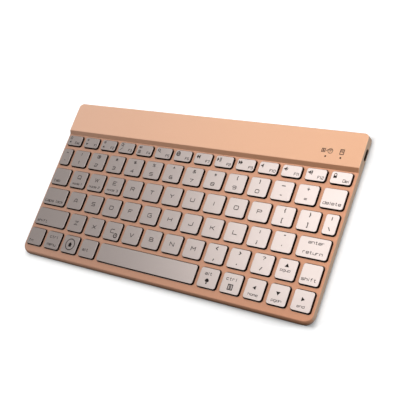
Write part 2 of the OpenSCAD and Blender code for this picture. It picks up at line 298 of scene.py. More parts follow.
class Finish:
    """A node material built up from a Principled shader and a few layers of texture."""

    def __init__(self, name, color, roughness, metallic=0.0, shine=0.5):
        self.material = bpy.data.materials.new(name)
        self.material.use_nodes = True
        self.tree = self.material.node_tree
        self.inputs = self.tree.nodes["Principled BSDF"].inputs
        self.inputs["Roughness"].default_value = roughness
        self.inputs["Metallic"].default_value = metallic
        self.inputs["Specular IOR Level"].default_value = shine
        self.roughness = roughness
        self.place = add_node(self.tree, "TexCoord", {})["Object"]
        self.color = add_node(self.tree, "RGB", {})["Color"]
        self.color.default_value = (*color, 1)

    def noise(self, size_mm, detail=3.0, stretch=(1, 1, 1)):
        """Noise whose blobs are about size_mm across."""
        scale = [s / (size_mm * MM) for s in stretch]
        place = add_node(self.tree, "Mapping", {"Vector": self.place, "Scale": scale})["Vector"]
        return add_node(self.tree, "TexNoise", {"Vector": place, "Scale": 1, "Detail": detail})["Fac"]

    def ramp(self, value, low, high, start=0.0, end=1.0):
        """Map a value from the range low-high onto start-end."""
        inputs = {"Value": value, "From Min": low, "From Max": high, "To Min": start, "To Max": end}
        return add_node(self.tree, "MapRange", inputs)["Result"]

    def combine(self, operation, first, second=0):
        """The outcome of a Math node on one value and another value or a plain number."""
        return add_node(self.tree, "Math", {0: first, 1: second}, operation=operation)["Value"]

    def coordinate(self, axis):
        return add_node(self.tree, "SeparateXYZ", {"Vector": self.place})[axis]

    def beyond(self, axis, limit_mm):
        """How far a point lies outside a pair of limits either side of the middle, in metres."""
        return self.combine("SUBTRACT", self.combine("ABSOLUTE", self.coordinate(axis)), limit_mm * MM)

    def tint(self, factor, color, amount=1.0):
        """Mix another colour in where the factor is high."""
        strength = self.ramp(factor, 0, 1, 0, amount)
        inputs = {"Factor": strength, "A": self.color, "B": (*color, 1)}
        self.color = add_node(self.tree, "Mix", inputs, data_type="RGBA")["Result"]

    def vary_roughness(self, factor, spread):
        rough = self.ramp(factor, 0.3, 0.7, self.roughness - spread, self.roughness + spread)
        self.tree.links.new(rough, self.inputs["Roughness"])

    def bump(self, height, depth_mm, strength):
        inputs = {"Height": height, "Distance": depth_mm * MM, "Strength": strength}
        self.tree.links.new(add_node(self.tree, "Bump", inputs)["Normal"], self.inputs["Normal"])

    def done(self):
        self.tree.links.new(self.color, self.inputs["Base Color"])
        return self.material


def shade(color, share):
    return tuple(c * share for c in color)


def blasted_metal(name, left_end_lit_color, right_end_lit_color, roughness, metallic):
    """Bead-blasted anodised aluminium over a fine sparkling grain, paler towards the left end: that shift
    from end to end is painted light, for how the light falls across the case.
    """
    finish = Finish(name, left_end_lit_color, roughness, metallic)
    # Painted light: the colour runs from the left end's tone to the right end's.
    finish.tint(finish.ramp(finish.coordinate("X"), -case_x * MM, case_x * MM), right_end_lit_color)
    darker = shade(right_end_lit_color, 0.86)
    finish.tint(finish.noise(70, 1), darker, 0.2)
    finish.tint(finish.noise(0.3, 2), darker, 0.35)
    finish.vary_roughness(finish.noise(0.5, 3), 0.05)
    finish.bump(finish.noise(0.16, 2), 0.02, 0.4)
    return finish.done()


def painted_plastic(name, color, roughness, metallic, grain_mm=0.2, depth_mm=0.012):
    """Satin moulded plastic with a fine spark-eroded grain."""
    finish = Finish(name, color, roughness, metallic)
    darker = shade(color, 0.85)
    finish.tint(finish.noise(60, 1), darker, 0.15)
    finish.tint(finish.noise(0.4, 2), darker, 0.25)
    finish.vary_roughness(finish.noise(0.6, 3), 0.04)
    finish.bump(finish.noise(grain_mm, 2), depth_mm, 0.4)
    return finish.done()


def print_ink(name, color):
    """Matt printed ink with slightly uneven cover."""
    finish = Finish(name, color, 0.6, shine=0.2)
    finish.tint(finish.noise(0.3, 3), tuple(c * 1.6 + 0.005 for c in color), 0.4)
    finish.bump(finish.noise(0.1, 2), 0.006, 0.3)
    return finish.done()


def rubber(name, color, shine=0.5):
    """Soft matt rubber with a faint mottle."""
    finish = Finish(name, color, 0.75, shine=shine)
    finish.tint(finish.noise(0.6, 4), shade(color, 1.8), 0.3)
    finish.vary_roughness(finish.noise(1.5, 3), 0.08)
    finish.bump(finish.noise(0.3, 4), 0.03, 0.5)
    return finish.done()


def brushed_steel(name, color, roughness=0.32, stretch=(0.05, 1, 1)):
    """Bare metal with fine streaks along the axis that is stretched most."""
    finish = Finish(name, color, roughness, 1.0)
    streaks = finish.noise(0.25, 3, stretch)
    finish.tint(streaks, shade(color, 0.7), 0.5)
    finish.vary_roughness(streaks, 0.08)
    finish.bump(streaks, 0.01, 0.4)
    return finish.done()


def printed_film(name, color, track):
    """Polyester film with printed silver tracks in a grid."""
    finish = Finish(name, color, 0.35)
    for axis, pitch in (("X", 4.3), ("Y", 3.2)):
        wave = finish.combine("PINGPONG", finish.coordinate(axis), pitch * MM / 2)
        lines = finish.ramp(wave, 0.35 * MM, 0.25 * MM)
        finish.tint(lines, track, 0.8)
    finish.tint(finish.noise(2, 3), shade(color, 0.8), 0.3)
    finish.bump(finish.noise(1.2, 3), 0.02, 0.3)
    return finish.done()


# Each rose gold finish has a tone for the left end and one for the right end, blended across the case:
# painted light, for how the light falls across it.
deck_finish = blasted_metal("rose_gold_deck", (0.745, 0.44, 0.32), (0.645, 0.303, 0.175), 0.42, 0.5)
# Painted light: the bar's copy of the rose gold is lighter and less metallic than the deck's, for the
# light that falls on the bar.
bar_lit_finish = blasted_metal("rose_gold_bar", (0.87, 0.545, 0.4), (0.84, 0.465, 0.28), 0.5, 0.3)
# Painted shade: the ramp's copy of the rose gold is darker than the bar's, for the shade on the slope.
ramp_shaded_finish = blasted_metal("rose_gold_ramp", (0.63, 0.39, 0.29), (0.79, 0.375, 0.2), 0.38, 0.45)
# Painted shade: the side walls' copy of the rose gold is darker and duller, for how the light falls on
# them.
side_shaded_finish = blasted_metal("rose_gold_side", (0.57, 0.4, 0.29), (0.57, 0.4, 0.29), 0.45, 0.5)
# Painted shade: the tray's copy of the rose gold is darker and greyer, so that the low front wall looks
# shaded.
base_shaded_finish = blasted_metal("rose_gold_base", (0.5, 0.33, 0.25), (0.45, 0.28, 0.2), 0.5, 0.4)
cap_finish = painted_plastic("champagne_cap", (0.69, 0.592, 0.555), 0.36, 0.8)
skirt_finish = rubber("dark_skirt", (0.012, 0.004, 0.002), 0.1)
ink = print_ink("legend_ink", (0.018, 0.013, 0.012))
dark_ink = print_ink("icon_ink", (0.012, 0.007, 0.006))
foot_finish = rubber("foot_rubber", (0.03, 0.028, 0.027))
dome_finish = rubber("dome_silicone", (0.55, 0.55, 0.53))
link_finish = painted_plastic("link_plastic", (0.5, 0.5, 0.48), 0.45, 0.0)
steel_finish = brushed_steel("brushed_steel", (0.55, 0.55, 0.56))
screw_finish = brushed_steel("screw_steel", (0.32, 0.31, 0.31), 0.35, (1, 1, 0.2))
# Painted shade: the socket's steel is nearly black, so that the opening looks dark inside.
socket_shaded_finish = brushed_steel("socket_steel", (0.12, 0.11, 0.105), 0.4)
film_finish = printed_film("membrane_film", (0.42, 0.45, 0.44), (0.75, 0.75, 0.72))
battery_finish = painted_plastic("battery_pouch", (0.35, 0.36, 0.38), 0.3, 0.8, 1.5, 0.05)
board_finish = painted_plastic("board_resin", (0.01, 0.09, 0.05), 0.35, 0.0, 0.8, 0.02)
chip_finish = painted_plastic("chip_plastic", (0.02, 0.02, 0.022), 0.5, 0.0)
gold_finish = brushed_steel("gold_contact", (0.83, 0.6, 0.25), 0.25)
light_finish = rubber("light_pipe", (0.012, 0.004, 0.003), 0.25)
switch_finish = painted_plastic("switch_plastic", (0.03, 0.028, 0.028), 0.4, 0.0)


# ---------------- case shells

def corner_points(centre_x, centre_y, radius, quarter, steps=12):
    """Points on a quarter circle, each with the direction its edge rounding and its wall take."""
    points = []
    for i in range(steps + 1):
        angle = (quarter + i / steps) * math.pi / 2
        out = Vector((math.cos(angle), math.sin(angle), 0))
        points.append((Vector((centre_x, centre_y, 0)) + out * radius, out, out))
    return points


def square_corner(x, y, side, back_or_front):
    """A corner with an upright edge: only its side is rounded, and both its walls go in."""
    out = Vector((side, 0, 0))
    return [(Vector((x, y, 0)), out, out + Vector((0, back_or_front, 0)))]


def side_points(x, side, stations):
    return [(Vector((x, y, 0)), Vector((side, 0, 0)), Vector((side, 0, 0))) for y in stations]


def edge_rings(outline, top, end_edge, side_edge, sweep, steps=6):
    """Rings over an edge, from the upright wall to the flat top. Each edge is (inset, drop);
    a sweep of less than a quarter turn leaves a crisp line where the rounding meets the top."""
    rings = []
    for i in range(steps + 1):
        angle = math.radians(sweep * i / steps)
        inward = (1 - math.cos(angle)) / (1 - math.cos(math.radians(sweep)))
        upward = math.sin(angle) / math.sin(math.radians(sweep))
        ring = []
        for point, out, _ in outline:
            at = point - Vector((out.x * side_edge[0], out.y * end_edge[0], 0)) * inward
            drop = math.hypot(out.x * side_edge[1], out.y * end_edge[1])
            at.z = top(at.y) - drop * (1 - upward)
            ring.append(at)
        rings.append(ring)
    return rings


def wall_ring(outline, inset, level):
    """The outline drawn in by a wall's thickness, at a height that may depend on y."""
    ring = []
    for point, _, wall in outline:
        at = point - wall * inset
        at.z = level(at.y) if callable(level) else level
        ring.append(at)
    return ring


def rounded_profile(corners, radius, steps=4):
    """A height line through (y, z) corners, with each inner corner eased over a radius."""
    points = [corners[0]]
    for before, corner, after in zip(corners, corners[1:], corners[2:]):
        start = corner + (before - corner).normalized() * radius
        end = corner + (after - corner).normalized() * radius
        for i in range(steps + 1):
            t = i / steps
            points.append(start * (1 - t) ** 2 + corner * (2 * t * (1 - t)) + end * t ** 2)
    points.append(corners[-1])
    return points


def height_on(profile):
    """The height at any y along a profile."""
    def height(y):
        for a, b in zip(profile, profile[1:]):
            if y <= b.x:
                return a.y + (b.y - a.y) * max(0, (y - a.x) / (b.x - a.x))
        return profile[-1].y
    return height


def strips(bm, loop, pairs):
    """Fill a ring across its width, joining each point of one side to its twin on the other,
    from the second point on. The ring's first point is the second one's twin."""
    for i in range(pairs):
        bm.faces.new((loop[-i], loop[i + 1], loop[i + 2], loop[-i - 1]))


front_left = corner_points(-case_x + FRONT_CORNER, case_front + FRONT_CORNER, FRONT_CORNER, 2)
front_right = corner_points(case_x - FRONT_CORNER, case_front + FRONT_CORNER, FRONT_CORNER, 3)
back_right = corner_points(case_x - BACK_CORNER, case_back - BACK_CORNER, BACK_CORNER, 0)
back_left = corner_points(-case_x + BACK_CORNER, case_back - BACK_CORNER, BACK_CORNER, 1)
light_boxes = solid_boxes("status_lights")
screw_boxes = solid_boxes("screws")
screw_points = [((low + high) / 2).xy for low, high in screw_boxes]
key_boxes = {}
for node in sorted(frame["nodes"]):
    if node.startswith("key_") and node != "key_deck" or node.endswith("_keys"):
        key_boxes[node] = solid_boxes(node)
all_caps = [box for boxes in key_boxes.values() for box in boxes]

HOLE_GAP = 0.45   # between a cap and its hole
CAP_CORNER = 1.6
CAP_STEPS = 6
HOLE_FLARE = 0.09
CUT_PAST = 0.5    # cutters reach past a face by this much
ABOVE_DECK = 0.3  # but less above the deck, where neighbours would meet
STEEP = 0.7       # a side's faces point outward by at least this share


def paint_faces(piece, finish, chosen):
    """Give the chosen faces of a piece another finish."""
    piece.data.materials.append(finish)
    for face in piece.data.polygons:
        if chosen(face):
            face.material_index = len(piece.data.materials) - 1


# The side walls chosen here get the shaded copy of the rose gold: painted shade.
def faces_sideways(face):
    return abs(face.normal.x) > STEEP and abs(face.center.x) > (case_x - WALL / 2) * MM


def make_skin(bm, outline, top, end_edge, sweep):
    """The walls of an upper shell: the loops of the outside from the rim up, then of the inside
    from the ceiling down. The outside starts with the chamfer where the shells meet."""
    plain = [(point, out, out) for point, out, _ in outline]
    groove = [wall_ring(plain, GROOVE, parting_z + RIM_LIFT), wall_ring(plain, 0, parting_z + GROOVE)]
    outside = loft(bm, groove + edge_rings(outline, top, end_edge, SIDE_EDGE, sweep), close_ends=False)
    ceiling = wall_ring(outline, WALL, lambda y: top(y) - SKIN)
    inside = loft(bm, [ceiling, wall_ring(outline, WALL, parting_z + RIM_LIFT)], close_ends=False)
    return outside, inside


def make_deck():
    """The thin shell round the keys, with a softly broken edge round every cap's hole."""
    outline = (front_left + front_right
               + square_corner(case_x, deck_high.y, 1, 1)
               + square_corner(-case_x, deck_high.y, -1, 1))
    bm = bmesh.new()
    outside, inside = make_skin(bm, outline, lambda y: deck_z, FRONT_EDGE, FRONT_SWEEP)
    bm.faces.new(outside[-1])
    bm.faces.new(inside[0])
    band(bm, outside[0], inside[1])
    flare = HOLE_GAP + HOLE_FLARE
    levels = [(deck_z - SKIN - CUT_PAST, HOLE_GAP), (deck_z - HOLE_FLARE, HOLE_GAP),
              (deck_z - HOLE_FLARE * 0.3, HOLE_GAP + HOLE_FLARE * 0.3), (deck_z, flare),
              (deck_z + ABOVE_DECK, flare + ABOVE_DECK)]
    cutter = bmesh.new()
    for low, high in all_caps:
        prism(cutter, low, high, CAP_CORNER, levels, steps=CAP_STEPS)
    bm = carve(bm, cutter)
    for point in screw_points:
        if point.y < deck_high.y:
            tube(bm, point, DECK_POST, THREAD_HOLE, deck_low.z, deck_z - SKIN / 2)
    deck = finish_mesh(bm, "deck_shell", deck_finish, replaces=["key_deck"])
    # Painted shade: the side walls get the darker, duller copy of the rose gold.
    paint_faces(deck, side_shaded_finish, faces_sideways)


def make_bar():
    """The raised bar: a ramp up from the deck, then a plain flat top."""
    ramp_top = bar_low.y + RAMP_RUN
    corners = [Vector((bar_low.y, deck_z)), Vector((ramp_top, bar_z)), Vector((case_back, bar_z))]
    profile = rounded_profile(corners, RAMP_EASE)
    top = height_on(profile)
    stations = [p.x for p in profile[1:-1]]
    outline = (square_corner(-case_x, bar_low.y, -1, -1)
               + square_corner(case_x, bar_low.y, 1, -1)
               + side_points(case_x, 1, stations)
               + back_right + back_left
               + side_points(-case_x, -1, reversed(stations)))
    bm = bmesh.new()
    outside, inside = make_skin(bm, outline, top, BACK_EDGE, BACK_SWEEP)
    for loop in (outside[-1], inside[0]):
        strips(bm, loop, len(stations))
        bm.faces.new(loop[1 + len(stations):len(loop) - len(stations) + 1])
    band(bm, outside[0], inside[1])
    cutter = bmesh.new()
    cut_socket_mouth(cutter)
    cut_switch_slot(cutter)
    for low, high in light_boxes:
        turned(cutter, column((low + high) / 2, bar_z),
               [(LIGHT_HOLE, -2), (LIGHT_HOLE, -0.05), (LIGHT_HOLE + 0.05, 0), (LIGHT_HOLE + 0.25, 0.2)])
    bm = carve(bm, cutter)
    for point in screw_points:
        if point.y > bar_low.y:
            tube(bm, point, BAR_POST, THREAD_HOLE, bar_low.z, bar_z - SKIN / 2)
    # The bar shell wears the lighter copy of the rose gold: painted light.
    bar = finish_mesh(bm, "bar_shell", bar_lit_finish, replaces=["rear_bar"])
    # Painted shade: the ramp's upward faces get the darker copy of the rose gold.
    paint_faces(bar, ramp_shaded_finish, lambda face: face.center.y < ramp_top * MM and face.normal.z > 0.5)
    # Painted shade: the side walls get the darker, duller copy of the rose gold.
    paint_faces(bar, side_shaded_finish, faces_sideways)


socket_low, socket_high = node_box("charge_socket")
socket_mid = (socket_low + socket_high) / 2
switch_low, switch_high = node_box("power_switch")
knob_mid = (switch_low + switch_high) / 2
KNOB_SIZE = Vector((3.0, 0, 1.3))       # along the back wall, and up
KNOB_GAP = Vector((0.25, 0, 0.15))      # clear space round it in its slot
SLOT_CORNER = 0.5
MOUTH_RADIUS = (socket_high.z - socket_low.z) / 2
MOUTH_STEPS = 8
MOUTH_ROOM = 0.15     # between the socket and the opening
MOUTH_FLARE = 0.15    # how far an opening's edge is broken
LIGHT_HOLE = 0.58
SWITCH_TRAVEL = next(j["range_m"][1] for j in frame["joints"] if j["child"] == "power_switch") / MM


def cut_socket_mouth(cutter):
    """The round-ended opening in the right wall that the charging plug goes through."""
    flare = MOUTH_ROOM + MOUTH_FLARE
    levels = [(case_x - 2, MOUTH_ROOM), (case_x - MOUTH_FLARE, MOUTH_ROOM),
              (case_x, flare), (case_x + CUT_PAST, flare + CUT_PAST)]
    prism(cutter, socket_low, socket_high, MOUTH_RADIUS, levels, axis=0, steps=MOUTH_STEPS)


def cut_switch_slot(cutter):
    """The round-ended slot in the back wall that the power switch's knob slides in."""
    low = knob_mid - KNOB_SIZE / 2 - KNOB_GAP
    high = knob_mid + KNOB_SIZE / 2 + KNOB_GAP + X_AXIS * SWITCH_TRAVEL
    levels = [(case_back - 2, 0), (case_back - MOUTH_FLARE, 0),
              (case_back, MOUTH_FLARE), (case_back + CUT_PAST, MOUTH_FLARE + CUT_PAST)]
    prism(cutter, low, high, SLOT_CORNER, levels, axis=1)


def make_cover():
    """The tray under everything: floor, walls and screw bosses."""
    outline = front_left + front_right + back_right + back_left
    levels = []
    for sine, cosine in quarter_turn(5):
        levels.append((BASE_ROUND * (1 - sine), base_z + BASE_ROUND * (1 - cosine)))
    levels += [(0, parting_z - GROOVE), (GROOVE, parting_z), (WALL, parting_z), (WALL, base_z + FLOOR)]
    bm = bmesh.new()
    loft(bm, [wall_ring(outline, inset, z) for inset, z in levels])
    cutter = bmesh.new()
    cut_socket_mouth(cutter)
    for point in screw_points:
        turned(cutter, column(point, base_z),
               [(HEAD_HOLE + 0.35, -0.2), (HEAD_HOLE + 0.15, 0), (HEAD_HOLE, 0.12),
                (HEAD_HOLE, HEAD_DEPTH), (SHANK_HOLE, HEAD_DEPTH), (SHANK_HOLE, 2)])
    bm = carve(bm, cutter)
    for point in screw_points:
        tube(bm, point, BASE_POST, SHANK_HOLE, base_z + FLOOR - 0.05, deck_low.z)
    # The tray wears the darker, greyer copy of the rose gold: painted shade on the low front wall.
    tray = finish_mesh(bm, "base_tray", base_shaded_finish, replaces=["bottom_cover"])
    # Painted shade: the side walls get the darker, duller copy of the rose gold.
    paint_faces(tray, side_shaded_finish, faces_sideways)


make_deck()
make_bar()
make_cover()


# ---------------- caps

SKIRT_WALL = 0.7
FACE_THICK = 0.4
FACE_EDGE = 0.16
FACE_INSET = 0.15
ROOF = 0.9        # from a cap's top to the hollow under it
PLUNGER = 0.5     # how far the plunger hangs into that hollow


def short_name(node):
    return node.replace("key_", "", 1) if node.startswith("key_") else node


def make_face(bm, low, high):
    """The painted top of a cap: a thin plate with a soft upper edge, let into the dark body."""
    levels = [(high.z - FACE_THICK, -FACE_INSET)]
    for sine, cosine in quarter_turn(4):
        levels.append((high.z - FACE_EDGE * (1 - sine), -FACE_INSET - FACE_EDGE * (1 - cosine)))
    prism(bm, low, high, CAP_CORNER, levels, steps=CAP_STEPS)


def make_skirt(bm, low, high):
    """The dark hollow body of a cap, with the plunger that presses the dome."""
    rim = high.z - FACE_EDGE
    roof = high.z - ROOF
    levels = [(rim, -FACE_INSET - 0.02), (rim - 0.06, -0.05), (rim - 0.15, 0), (low.z + 0.15, 0),
              (low.z, -0.15), (low.z, 0.1 - SKIRT_WALL), (low.z + 0.1, -SKIRT_WALL), (roof, -SKIRT_WALL)]
    prism(bm, low, high, CAP_CORNER, levels, steps=CAP_STEPS)
    radius = dome_radius(low, high) * 0.45
    turned(bm, column((low + high) / 2), [(radius, roof + 0.05), (radius, roof - PLUNGER + 0.08),
                                          (radius - 0.08, roof - PLUNGER)], steps=16)


LINK_BAR = 0.6
LINK_ARM = 9.0
LINK_TILT = math.radians(16)


def link_span(low, high):
    size = high - low
    return min(11, min(size.x, size.y) - 2 * SKIRT_WALL - 0.6)


def dome_radius(low, high):
    return min(3.2, (link_span(low, high) - 4 * LINK_BAR - 0.4) / 2)


for node, boxes in key_boxes.items():
    faces = bmesh.new()
    skirts = bmesh.new()
    for low, high in boxes:
        make_face(faces, low, high)
        make_skirt(skirts, low, high)
    finish_mesh(faces, "cap_" + short_name(node), cap_finish, node, [node])
    finish_mesh(skirts, "skirt_" + short_name(node), skirt_finish, node, [node])


# ---------------- legends

# Each glyph is drawn on a grid, 8 across and 8 up, with the baseline at 2. Two digits are one
# point, across then up, and a space starts a new stroke. A stroke that ends in o is closed,
# and one that ends in f is filled in.
GLYPHS = {
    "A": "02286882 1474", "B": "020868776505 6584837202", "C": "881807031282", "D": "020878878372o",
    "E": "88080282 0565", "F": "880802 0565", "G": "8818070312828545", "H": "0802 8882 0585",
    "I": "4842", "J": "888372120304", "K": "0802 883582 0535", "L": "080282", "M": "0208458882",
    "N": "02088288", "O": "1878878372120307o", "P": "02087887867505", "Q": "1878878372120307o 5481",
    "R": "02087887867505 4582", "S": "88180706157584837202", "T": "0888 4842", "U": "080312728388",
    "V": "084288", "W": "0822476288", "X": "0882 0288", "Y": "084588 4542", "Z": "08880282",
    "a": "0676858212031484", "b": "08027283857606", "c": "861605031282", "d": "88821203051686",
    "e": "048485761605031282", "f": "68483732 1666", "g": "821203051686817010", "h": "0802 06768582",
    "i": "4642 4847", "k": "0802 761472", "l": "48434252", "m": "0206768582 4642", "n": "0206768582",
    "o": "1676858372120305o", "p": "00067685837202", "r": "020666", "s": "8616051474837202",
    "t": "38334272 1666", "u": "0603128286",
    "0": "1878878372120307o", "1": "274842", "2": "087887867515040282", "3": "087887867525 7584837202",
    "4": "62680484", "5": "8808057584837202", "6": "78180703127283847505", "7": "088832",
    "8": "1506071878878675o 1575848372120304o", "9": "12728387781807061585",
    "~": "142535546475", "`": "3755", "!": "4844 4243", "@": "83721203071878878434366664",
    "#": "3238 5258 1474 1676", "$": "7727162565746313 4842", "%": "1278 17283726o 53647362o",
    "^": "254865", "&": "82273858671413225285", "*": "4842 2674 2476", "(": "59474351",
    ")": "39474331", "_": "0484", "-": "2565", "+": "4842 1575", "=": "1676 1474", "{": "59484635444251",
    "}": "39484655444231", "[": "59393151", "]": "39595131", "|": "4842", "\\": "2862", "/": "6822",
    ":": "35555737f 32525434f", ";": "35555737f 32525434f 4330", '"': "3836 5856", "'": "4846",
    "<": "682562", ">": "286522",
    ",": "32525434f 4330", ".": "32525434f", "?": "172868777645 4442",
}
ICONS = {
    "home": "044884 14107074", "house": "044884f 14747010f",
    "dim": "3656656352322325o 4847 4041 0414 7484",
    "bright": "3656656352322325o 4847 4041 0414 7484 1726 7766 1122 7162",
    "panes": "02085852o 6686804041", "keyboard": "06868202o 1424 3444 5464 2363",
    "search": "2858676554241517o 5481", "globe": "2868868260200206o 0484 48262240 48666240",
    "back": "044840f 448880f", "play": "000844f 6860 8880", "next": "000844f 404884f",
    "mute": "030525585023f", "quieter": "030525585023f 667462",
    "louder": "030525585023f 667462 788470",
    "lock": "10147470f 242738586764",
    "up": "018147f", "down": "078741f", "left": "717814f", "right": "111874f",
    "bulb": "3858767453331416f 3252 3151", "menu": "08888000o 2666 2464 2262",
    "beacon": "2868868260200206o 36565234f", "boxed_a": "08888000o 224662 3353",
    "waves": "30324240f 23345463 05276785", "slash": "0088", "battery": "10187870o 3858 2666 2464",
}
NARROW = "il1!.,:;'|"
NARROW_STEPS = 4
SPACE_STEPS = 5
BASELINE = 2
GRID = 8
LETTER_GAP = 2.2       # between letters, in steps of the grid
INK_PROUD = 0.016      # how far ink stands above its surface, and goes into it
INK_DEEP = 0.02
STROKE_STEP = 0.0015   # each further stroke is this much prouder, so that no two tops coincide
GENTLE_BEND = math.radians(55)
BEND_CUT = 0.35
SHARPEST_MITRE = 0.45


def soften(points, closed):
    """Cut each gentle bend in two, so that the corners of a letter look rounded."""
    smooth = []
    count = len(points)
    for i, point in enumerate(points):
        into = point - points[i - 1]
        out = points[(i + 1) % count] - point
        at_end = not closed and i in (0, count - 1)
        if at_end or into.angle(out, 0) > GENTLE_BEND:
            smooth.append(point)
        else:
            cut = BEND_CUT * min(into.length, out.length)
            smooth += [point - into.normalized() * cut, point + out.normalized() * cut]
    return smooth


def ribbon(bm, points, width, z0, z1, closed):
    """A thin solid strip of even width along a line."""
    count = len(points)
    rings = []
    for i, point in enumerate(points):
        into = point - points[i - 1] if closed or i > 0 else points[1] - point
        out = points[(i + 1) % count] - point if closed or i < count - 1 else into
        left_in = Vector((-into.y, into.x)).normalized()
        left_out = Vector((-out.y, out.x)).normalized()
        mitre = left_in + left_out
        mitre = mitre.normalized() if mitre.length > 1e-6 else left_in
        reach = width / 2 / max(SHARPEST_MITRE, mitre.dot(left_in))
        a = point + mitre * reach
        b = point - mitre * reach
        rings.append([(a.x, a.y, z0), (a.x, a.y, z1), (b.x, b.y, z1), (b.x, b.y, z0)])
    if closed:
        loft_round(bm, rings)
    else:
        loft(bm, rings)


def filled(bm, points, z0, z1):
    """A thin solid plate with that outline."""
    loft(bm, [[Vector((p.x, p.y, z)) for p in points] for z in (z0, z1)])


def draw(bm, strokes, corner, unit_x, unit_y, line, z):
    """Draw a glyph's strokes with its grid's corner at a point."""
    for order, stroke in enumerate(strokes.split()):
        style = stroke[-1] if stroke[-1] in "of" else ""
        digits = stroke.rstrip("of")
        points = [corner + Vector((int(digits[i]) * unit_x, int(digits[i + 1]) * unit_y))
                  for i in range(0, len(digits), 2)]
        top = z + INK_PROUD + order * STROKE_STEP
        if style == "f":
            filled(bm, points, z - INK_DEEP, top)
        else:
            ribbon(bm, soften(points, style == "o"), line, z - INK_DEEP, top, style == "o")


def write(bm, text, at, height, width, line, z, anchor=0.5):
    """Write text on its baseline grid. Height is that of a capital, width that of one letter,
    and the anchor is the share of the text's length that lies left of the point."""
    unit_x = width / GRID
    unit_y = height / (GRID - BASELINE)
    middle = (GRID + BASELINE) / 2
    widths = [NARROW_STEPS if c in NARROW else SPACE_STEPS if c == " " else GRID for c in text]
    pen = -(sum(widths) + LETTER_GAP * (len(text) - 1)) * anchor
    for letter, size in zip(text, widths):
        if letter != " ":
            corner = at + Vector(((pen - (GRID - size) / 2) * unit_x, -middle * unit_y))
            draw(bm, GLYPHS[letter], corner, unit_x, unit_y, line, z)
        pen += size + LETTER_GAP


def symbol(bm, name, at, size, line, z):
    """Draw an icon centred on a point."""
    unit = size / GRID
    draw(bm, ICONS[name], at - Vector((size / 2, size / 2)), unit, unit, line, z)


def ring_mark(bm, at, radius, line, z):
    points = [p.xy for p in circle_ring(column(at), radius, steps=40)]
    ribbon(bm, points, line, z - INK_DEEP, z + INK_PROUD, True)


# Height, width and line of each size of print.
LETTER_H, LETTER_W, LETTER_LINE = 2.5, 3.2, 0.45
DIGIT_H, DIGIT_W, DIGIT_LINE = 2.1, 2.7, 0.42
WORD_H, WORD_W, WORD_LINE = 1.9, 1.75, 0.32
FKEY_H, FKEY_W, FKEY_LINE = 1.7, 1.35, 0.32
SMALL_SHARE = 0.8
THIN_MARKS = ".,:;'\"()[]{}<>-_|\\/!^"
THICKER = 1.35   # a mark with little ink in it is drawn with a thicker line
LOWER_SHARE, UPPER_SHARE, RAISED_SHARE = 0.27, 0.78, 0.64
DIGIT_PAIRS = ["1!", "2@", "3#", "4$", "5%", "6^", "7&", "8*", "9(", "0)"]
MARK_PAIRS = ["`~", "-_", "=+", "[{", "]}", "\\|", ";:", "'\"", ",<", ".>", "/?"]
# Each function key has its name, an icon, and on the first keys a second icon below that.
FUNCTION_LABELS = [
    "Esc home left", "F1 dim down", "F2 bright up", "F3 panes slash", "F4 keyboard menu", "F5 search",
    "F6 globe", "F7 back", "F8 play", "F9 next", "F10 mute", "F11 quieter", "F12 louder", "Del lock",
]
# A line of words is (text, share across, share up); it is centred there unless LEFT follows.
LEFT = 0
WORDS = {
    "delete": [("delete", 0.5, 0.26)],
    "tab": [("tab", 0.14, 0.24, LEFT)],
    "caps_lock": [("caps lock", 0.09, 0.24, LEFT)],
    "enter": [("enter", 0.56, 0.76), ("return", 0.53, 0.27)],
    "shift_left": [("shift", 0.08, 0.24, LEFT)],
    "shift_right": [("shift", 0.48, 0.27)],
    "fn": [("fn", 0.14, 0.24, LEFT)],
    "ctrl_left": [("ctrl", 0.5, 0.7), ("menu", 0.5, 0.26)],
    "alt_left": [("alt", 0.36, 0.42)],
    "alt_right": [("alt", 0.46, 0.72)],
    "ctrl_right": [("ctrl", 0.46, 0.72)],
}
# The same for the smaller words on the arrow keys and under three of the letters.
SMALL_WORDS = {
    "arrow_up": ("pgup", 0.46, 0.46),
    "arrow_left": ("home", 0.5, 0.24),
    "arrow_down": ("pgdn", 0.5, 0.24),
    "arrow_right": ("end", 0.5, 0.24),
    "q": ("mode 1", 0.5, 0.24),
    "w": ("mode 2", 0.5, 0.24),
    "e": ("mode 3", 0.5, 0.24),
}
# An icon is (name, share across, share up, size).
KEY_ICONS = {
    "arrow_up": ("up", 0.48, 0.7, 3.0),
    "arrow_left": ("left", 0.46, 0.56, 3.0),
    "arrow_down": ("down", 0.48, 0.56, 3.0),
    "arrow_right": ("right", 0.52, 0.56, 3.0),
    "alt_right": ("bulb", 0.48, 0.32, 3.8),
    "ctrl_right": ("menu", 0.5, 0.32, 3.2),
    "system": ("house", 0.5, 0.5, 3.4),
    "c": ("beacon", 0.76, 0.28, 2.8),
}
SYSTEM_RING = 4.0
BOLD_LINE = 0.6
# Function keys: (share up, size, line) of a lone icon, or of each icon of a stack.
LONE_ICON = [(0.64, 3.0, 0.42)]
ICON_STACK = [(0.76, 2.1, 0.336), (0.34, 2.1, 0.336)]
ICON_INDENT = 2.8
NAME_INDENT = 1.2


def on_cap(box, across, up):
    low, high = box
    return Vector((low.x + (high.x - low.x) * across, low.y + (high.y - low.y) * up))


def label_pair(bm, box, lower, upper):
    for mark, share in ((lower, LOWER_SHARE), (upper, UPPER_SHARE)):
        line = DIGIT_LINE * (THICKER if mark in THIN_MARKS else 1)
        write(bm, mark, on_cap(box, 0.5, share), DIGIT_H, DIGIT_W, line, box[1].z)


